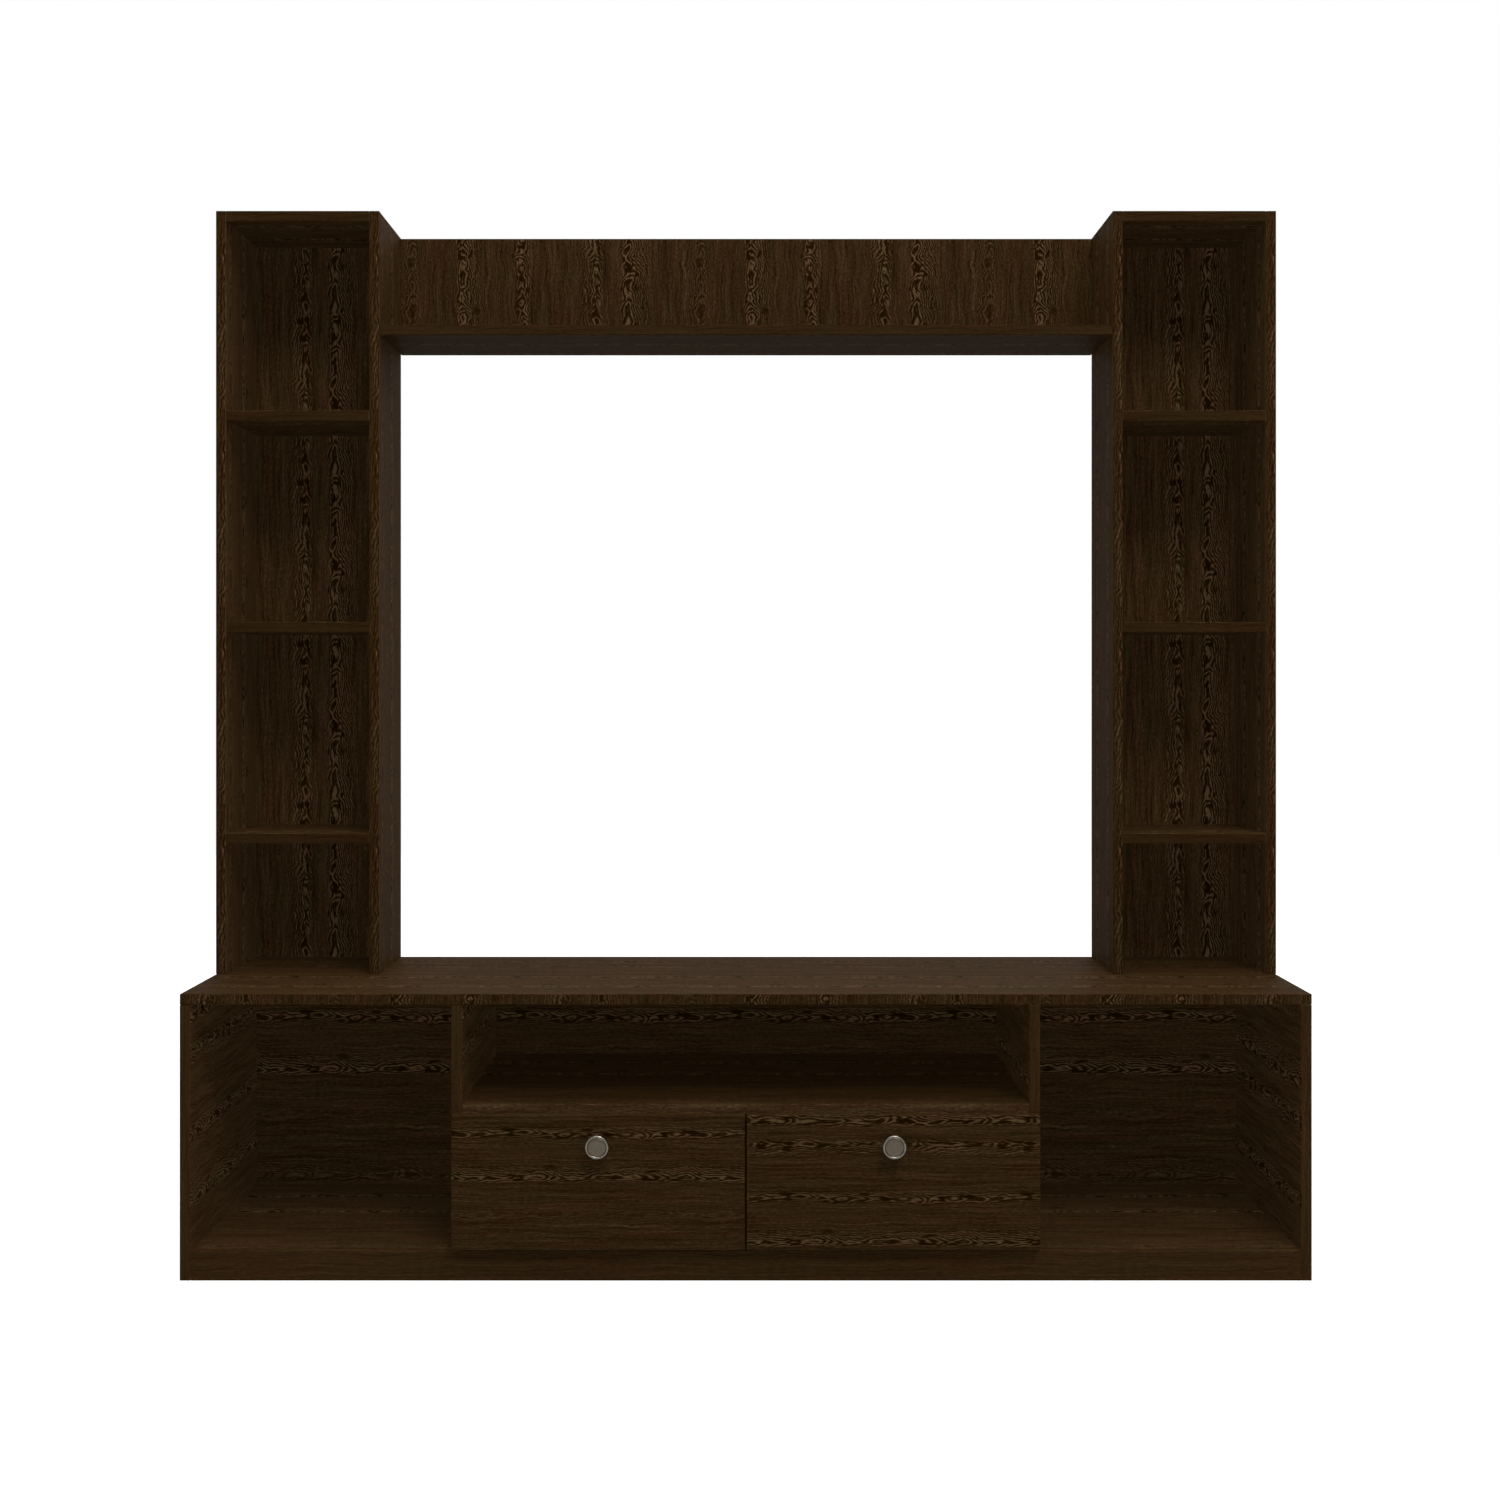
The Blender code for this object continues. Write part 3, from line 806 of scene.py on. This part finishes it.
def deselect_all():
    if bpy.context.object and bpy.context.object.mode != "OBJECT":
        bpy.ops.object.mode_set(mode="OBJECT")
    for obj in bpy.context.selected_objects:
        obj.select_set(False)


def turned(name, centre, profile, sides):
    """A closed part turned about the line through centre along Y, from (radius, depth) steps."""
    deselect_all()
    first_radius, first_depth = profile[0]
    at = Vector(centre) + Vector((0, first_depth, 0))
    bpy.ops.mesh.primitive_circle_add(
        vertices=sides, radius=first_radius, fill_type="NGON", location=at, rotation=(math.radians(90), 0, 0)
    )
    part = bpy.context.active_object
    part.name = name
    bpy.ops.object.transform_apply(location=True, rotation=True, scale=True)
    bpy.ops.object.mode_set(mode="EDIT")
    bpy.ops.mesh.select_all(action="SELECT")
    for (radius, depth), (next_radius, next_depth) in zip(profile, profile[1:]):
        step = (0, next_depth - depth, 0)
        bpy.ops.mesh.extrude_region_move(TRANSFORM_OT_translate={"value": step})
        middle = Vector(centre) + Vector((0, next_depth, 0))
        grow = next_radius / radius
        bpy.ops.transform.resize(value=(grow, 1, grow), center_override=middle)
    bpy.ops.mesh.select_all(action="SELECT")
    bpy.ops.mesh.normals_make_consistent(inside=False)
    bpy.ops.object.mode_set(mode="OBJECT")
    bpy.ops.object.shade_smooth_by_angle(angle=smooth_below)
    return part


print("turning helper ready")

# %% Satin nickel
nickel_grain_scale = 4200.0
nickel_cloud_scale = 220.0
dark_share = 0.92


def nickel(name, roughness, tint):
    """Plated metal: a satin grain under faint clouds."""
    material, tree, shader = blank_material(name)
    place = coordinates(tree, "Object")
    grain = noise(tree, place, nickel_grain_scale)
    cloud = noise(tree, place, nickel_cloud_scale)
    dark = tuple(value * dark_share for value in tint)
    colour = screen_ramp(tree, blend(tree, grain, 0.4, cloud), ((0.3, dark), (0.7, tint)))
    feed(tree, colour, shader.inputs["Base Color"])
    shader.inputs["Metallic"].default_value = 1.0
    feed(tree, plus(tree, roughness, times(tree, grain, 0.12)), shader.inputs["Roughness"])
    bump(tree, shader, grain, strength=0.15, depth=0.00005)
    return material


satin = nickel("satin_nickel_face", 0.34, (102, 93, 80))
# Painted highlight: the rim's tint is lighter than the face's, on top of its lower roughness.
polished = nickel("polished_nickel_rim_painted_highlight", 0.22, (124, 118, 107))
print("nickel ready")

# %% The two knobs
knob_sides = 96
arc_steps = 10

# The face: how far out as a share of its radius, and how deep. It dips under the rim at its edge.
face_share = 0.80
face_steps = ((0.20, 0.0009), (0.60, 0.0008), (0.93, 0.0007), (0.975, 0.0010))
rim_height = 0.0016
rim_roundness = 0.9

# The cap's wall below the rim, and its rounded rear edge as steps of (inwards, forwards).
wall_start = 0.0024
rear_edge = ((0.0, 0.0016), (0.0004, 0.0006), (0.0014, 0.0))
cap_share = 0.35

# The neck behind the cap, the hollow between both, and the foot on the drawer.
neck_share = 0.36
foot_share = 0.55
hollow_share = 0.55
hollow_depth = 0.004
foot_start, foot_depth = 0.0065, 0.0043


def knob_profile(radius, reach):
    """From the face's middle over the rim to the foot, as (radius, depth) from the rim's crown."""
    face = face_share * radius
    rim = radius - face
    cap = cap_share * reach
    neck = neck_share * radius
    foot = foot_share * radius
    profile = [(share * face, depth) for share, depth in face_steps]
    for step in range(arc_steps + 1):
        angle = math.pi * (step / arc_steps)
        across = face + rim * (1 - math.cos(angle)) / 2
        profile.append((across, rim_height - rim_height * math.sin(angle) ** rim_roundness))
    profile.append((radius, wall_start))
    profile += [(radius - inwards, cap - forwards) for inwards, forwards in rear_edge]
    cap_end = profile[-1][0]
    for step in range(1, arc_steps + 1):
        angle = math.pi / 2 * step / arc_steps
        across = neck + (cap_end - neck) * (1 - math.sin(angle)) * hollow_share
        profile.append((across, cap + hollow_depth * (1 - math.cos(angle))))
    for step in range(1, arc_steps + 1):
        angle = math.pi / 2 * step / arc_steps
        across = neck + (foot - neck) * (1 - math.cos(angle))
        profile.append((across, reach - foot_start + foot_depth * math.sin(angle)))
    return profile + [(foot, reach)]


# Faces whose middle lies further out than this share of the face's edge belong to the rim.
rim_from = 0.97

for side in ("left", "right"):
    low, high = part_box(f"drawer_{side}_knob")
    radius = (high.z - low.z) / 2
    reach = high.y - low.y
    middle = (low + high) / 2
    knob = turned(f"knob_{side}", (middle.x, low.y, middle.z), knob_profile(radius, reach), knob_sides)
    knob.data.materials.append(satin)
    knob.data.materials.append(polished)
    for face in knob.data.polygons:
        across = math.hypot(face.center.x - middle.x, face.center.z - middle.z)
        face.material_index = 1 if across > rim_from * face_share * radius else 0
    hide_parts(f"drawer_{side}_knob")
    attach(knob, f"drawer_{side}")
    print(knob.name, "faces:", len(knob.data.polygons))

# %% [markdown]
# ## Screws
#
# With the drawers out one sees what holds them: three screws through each runner member, and one
# screw with a washer through the front into each knob. A pan head is a low turned dome with a cross
# pressed into it. One head is turned and its cross is cut with two bars. Every screw is a copy with
# its own mesh, turned to face the way it is driven from.

# %% One screw head, and a helper for copies
screw_sides = 20
dome_steps = 5
crown_share = 0.25
head_radius = 0.0036
head_height = 0.0013
cross_length = 0.0040
cross_width = 0.0009
cross_depth = 0.0008
facing = {
    "-Y": Matrix.Identity(4),
    "+Y": Matrix.Rotation(math.pi, 4, "Z"),
    "-X": Matrix.Rotation(-math.pi / 2, 4, "Z"),
    "+X": Matrix.Rotation(math.pi / 2, 4, "Z"),
}


def dome_profile(radius, height):
    """A low dome from near its crown to its seat, as (radius, depth) with the seat at depth 0."""
    profile = []
    for step in range(1, dome_steps + 1):
        angle = math.pi / 2 * step / dome_steps
        level = crown_share + (1 - crown_share) * math.cos(angle)
        profile.append((radius * math.sin(angle), -height * level))
    return profile + [(radius, 0.0)]


def activate(part):
    deselect_all()
    part.select_set(True)
    bpy.context.view_layer.objects.active = part


def cut_cross(head, length):
    """Cuts two crossed bars out of a head's crown."""
    for wide, tall in ((length, cross_width), (cross_width, length)):
        deselect_all()
        bpy.ops.mesh.primitive_cube_add(
            size=1, location=(0, -head_height, 0), scale=(wide, 2 * cross_depth, tall)
        )
        bar = bpy.context.active_object
        bpy.ops.object.transform_apply(location=True, rotation=True, scale=True)
        cut = head.modifiers.new("cross", "BOOLEAN")
        cut.operation = "DIFFERENCE"
        cut.object = bar
        activate(head)
        bpy.ops.object.modifier_apply(modifier=cut.name)
        bpy.data.objects.remove(bar)


def join_as(name, parts):
    activate(parts[0])
    for part in parts:
        part.select_set(True)
    bpy.ops.object.join()
    joined = bpy.context.active_object
    joined.name = name
    return joined


def copies(name, master, places, way="-Y"):
    """One piece of copies of the master, each turned to face the given way and set at its place."""
    made = []
    for place in places:
        copy = master.copy()
        copy.data = master.data.copy()
        copy.data.transform(Matrix.Translation(place) @ facing[way])
        bpy.context.scene.collection.objects.link(copy)
        made.append(copy)
    return join_as(name, made)


pan_head = turned("pan_head", (0, 0, 0), dome_profile(head_radius, head_height), screw_sides)
cut_cross(pan_head, cross_length)
pan_head.data.materials.append(zinc)
print("pan head faces:", len(pan_head.data.polygons))

# %% [markdown]
# The screws of the drawer member sit in its open channel. Those of the cabinet member must leave
# room for the ball cage that slides over them, so their heads are countersunk and end in line with the
# steel. The box of each member says where its ends are, and the holes are shares of its length.

# %% Runner screws
hole_shares = (0.10, 0.26, 0.90)
sheet_steel = 0.001
flat_head_radius = 0.0021
flat_head_height = 0.0011
flat_cross_length = 1.5 * flat_head_radius
drawer_middle = {side: sum(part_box(f"drawer_{side}_front"), Vector()).x / 2 for side in ("left", "right")}
runners = [(side, place) for side in ("left", "right") for place in ("outer", "inner")]

flat_head = turned("flat_head", (0, 0, 0), dome_profile(flat_head_radius, flat_head_height), screw_sides)
cut_cross(flat_head, flat_cross_length)
flat_head.data.materials.append(zinc)


def towards_drawer(side, low, high):
    """1 if the drawer's middle lies at higher x than this runner, else -1."""
    return 1 if low.x + high.x < 2 * drawer_middle[side] else -1


for side, place in runners:
    for part, master, body in (("drawer", pan_head, f"drawer_{side}"), ("cabinet", flat_head, "carcass")):
        member = f"{side}_{place}_runner_{part}_member"
        low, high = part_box(member)
        way = towards_drawer(side, low, high)
        if part == "drawer":
            seat = (high.x if way > 0 else low.x) - way * sheet_steel
            faces_way = "-X" if way > 0 else "+X"
        else:
            seat = low.x if way > 0 else high.x
            faces_way = "+X" if way > 0 else "-X"
        level = (low.z + high.z) / 2
        places = [Vector((seat, low.y + share * (high.y - low.y), level)) for share in hole_shares]
        screws = copies(f"{side}_{place}_{part}_screws", master, places, faces_way)
        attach(screws, body)
        print(screws.name, "at x", round(seat, 4), "facing", faces_way)

# %% Knob screws with their washers
# The washer's middle lies under the screw's head, so it is left closed.
washer_radius = 0.0055
washer_inner = 0.0024
washer_height = 0.0009
washer_edge = 0.0003
washer_profile = (
    (washer_inner, -washer_height),
    (washer_radius - washer_edge, -washer_height),
    (washer_radius, washer_edge - washer_height),
    (washer_radius, 0.0),
)

washer = turned("washer", (0, 0, 0), washer_profile, 2 * screw_sides)
washer.data.materials.append(zinc)
for side in ("left", "right"):
    knob_low, knob_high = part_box(f"drawer_{side}_knob")
    at = (knob_low + knob_high) / 2
    at.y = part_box(f"drawer_{side}_front")[1].y
    on_washer = at + Vector((0, washer_height, 0))
    parts = [copies("washer_part", washer, [at], "+Y"), copies("head_part", pan_head, [on_washer], "+Y")]
    screw = join_as(f"knob_screw_{side}", parts)
    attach(screw, f"drawer_{side}")
    print(screw.name, [round(v, 4) for v in at])
for master in (pan_head, flat_head, washer):
    bpy.data.objects.remove(master)

# %% [markdown]
# ## Balls
#
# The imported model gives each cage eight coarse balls. Polished balls are what catches the light when a
# drawer is out, so a finer ball is set over each, with the pressed lip of the cage that keeps it in. The
# cage's box gives their places: the rows run a ball's radius inside its top and bottom.

# %% Balls and their lips
ball_radius = 0.0015
ball_segments, ball_rings = 16, 10
cage_edge = 0.0004
cage_end = 0.009
balls_per_row = 4
lip_radius = 0.00155
lip_wire = 0.00034
lip_sides = 6

ball_steel = steel("polished_ball_steel", (186, 188, 192), (214, 216, 220), 0.08, round_bar)
deselect_all()
bpy.ops.mesh.primitive_uv_sphere_add(segments=ball_segments, ring_count=ball_rings, radius=ball_radius)
ball = bpy.context.active_object
ball.data.materials.append(ball_steel)
bpy.ops.mesh.primitive_torus_add(
    major_radius=lip_radius, minor_radius=lip_wire, major_segments=ball_segments, minor_segments=lip_sides
)
lip = bpy.context.active_object
lip.data.materials.append(cage_metal)
ball_master = join_as("ball_master", [ball, lip])
bpy.ops.object.shade_smooth()

for side, place in runners:
    for part in ("cabinet", "drawer"):
        low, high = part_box(f"{side}_{place}_runner_{part}_cage")
        way = towards_drawer(side, low, high)
        across = (high.x if way > 0 else low.x) - way * (ball_radius + cage_edge)
        pitch = (high.y - low.y - 2 * cage_end) / (balls_per_row - 1)
        rows = (low.z + ball_radius, high.z - ball_radius)
        along = [low.y + cage_end + number * pitch for number in range(balls_per_row)]
        places = [Vector((across, depth, row)) for row in rows for depth in along]
        balls = copies(f"{side}_{place}_{part}_balls", ball_master, places)
        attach(balls, f"{side}_{place}_{part}_cage")
bpy.data.objects.remove(ball_master)
print("ball sets:", 2 * len(runners))

# %% [markdown]
# ## Nails
#
# The thin backs are nailed on from behind, into the edges of the boards. A nail head is a flat dome of
# a few faces, and each back has one piece that holds all of its nails. They follow the boards they go
# into, with a pitch near a hand's width.

# %% Nail heads on the thin backs
nail_radius = 0.0019
nail_height = 0.0004
nail_sides = 10
nail_pitch = 0.16
nail_margin = 0.035


def spread(start, end):
    """Places from start to end, a margin inside both, about a nail pitch apart."""
    first, last = start + nail_margin, end - nail_margin
    count = max(1, round((last - first) / nail_pitch))
    return [first + (last - first) * step / count for step in range(count + 1)]


def nails_into(back, board, upright):
    """Places on the back's rear face, in a row up an upright board or along a level one."""
    low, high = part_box(board)
    back_low, back_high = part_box(back)
    if upright:
        rows = spread(max(low.z, back_low.z), min(high.z, back_high.z))
        return [Vector(((low.x + high.x) / 2, back_high.y, level)) for level in rows]
    columns = spread(max(low.x, back_low.x), min(high.x, back_high.x))
    return [Vector((across, back_high.y, (low.z + high.z) / 2)) for across in columns]


nail_head = turned("nail_head", (0, 0, 0), dome_profile(nail_radius, nail_height), nail_sides)
nail_head.data.materials.append(zinc)
backs = {
    "base_back": (
        ("base_side_left", "divider_left", "drawer_partition", "divider_right", "base_side_right"),
        ("base_bottom", "niche_shelf"),
    )
}
for side in ("left", "right"):
    uprights = [f"tower_{side}_{board}" for board in ("outer_side", "inner_side")]
    shelves = [f"tower_{side}_{board}" for board in ("shelf_1", "shelf_2", "shelf_3")]
    backs[f"tower_{side}_back"] = (uprights, shelves)
for back, (uprights, shelves) in backs.items():
    places = [place for board in uprights for place in nails_into(back, board, upright=True)]
    places += [place for board in shelves for place in nails_into(back, board, upright=False)]
    nails = copies(f"{back}_nails", nail_head, places, "+Y")
    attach(nails, "carcass")
    print(nails.name, len(places))
bpy.data.objects.remove(nail_head)
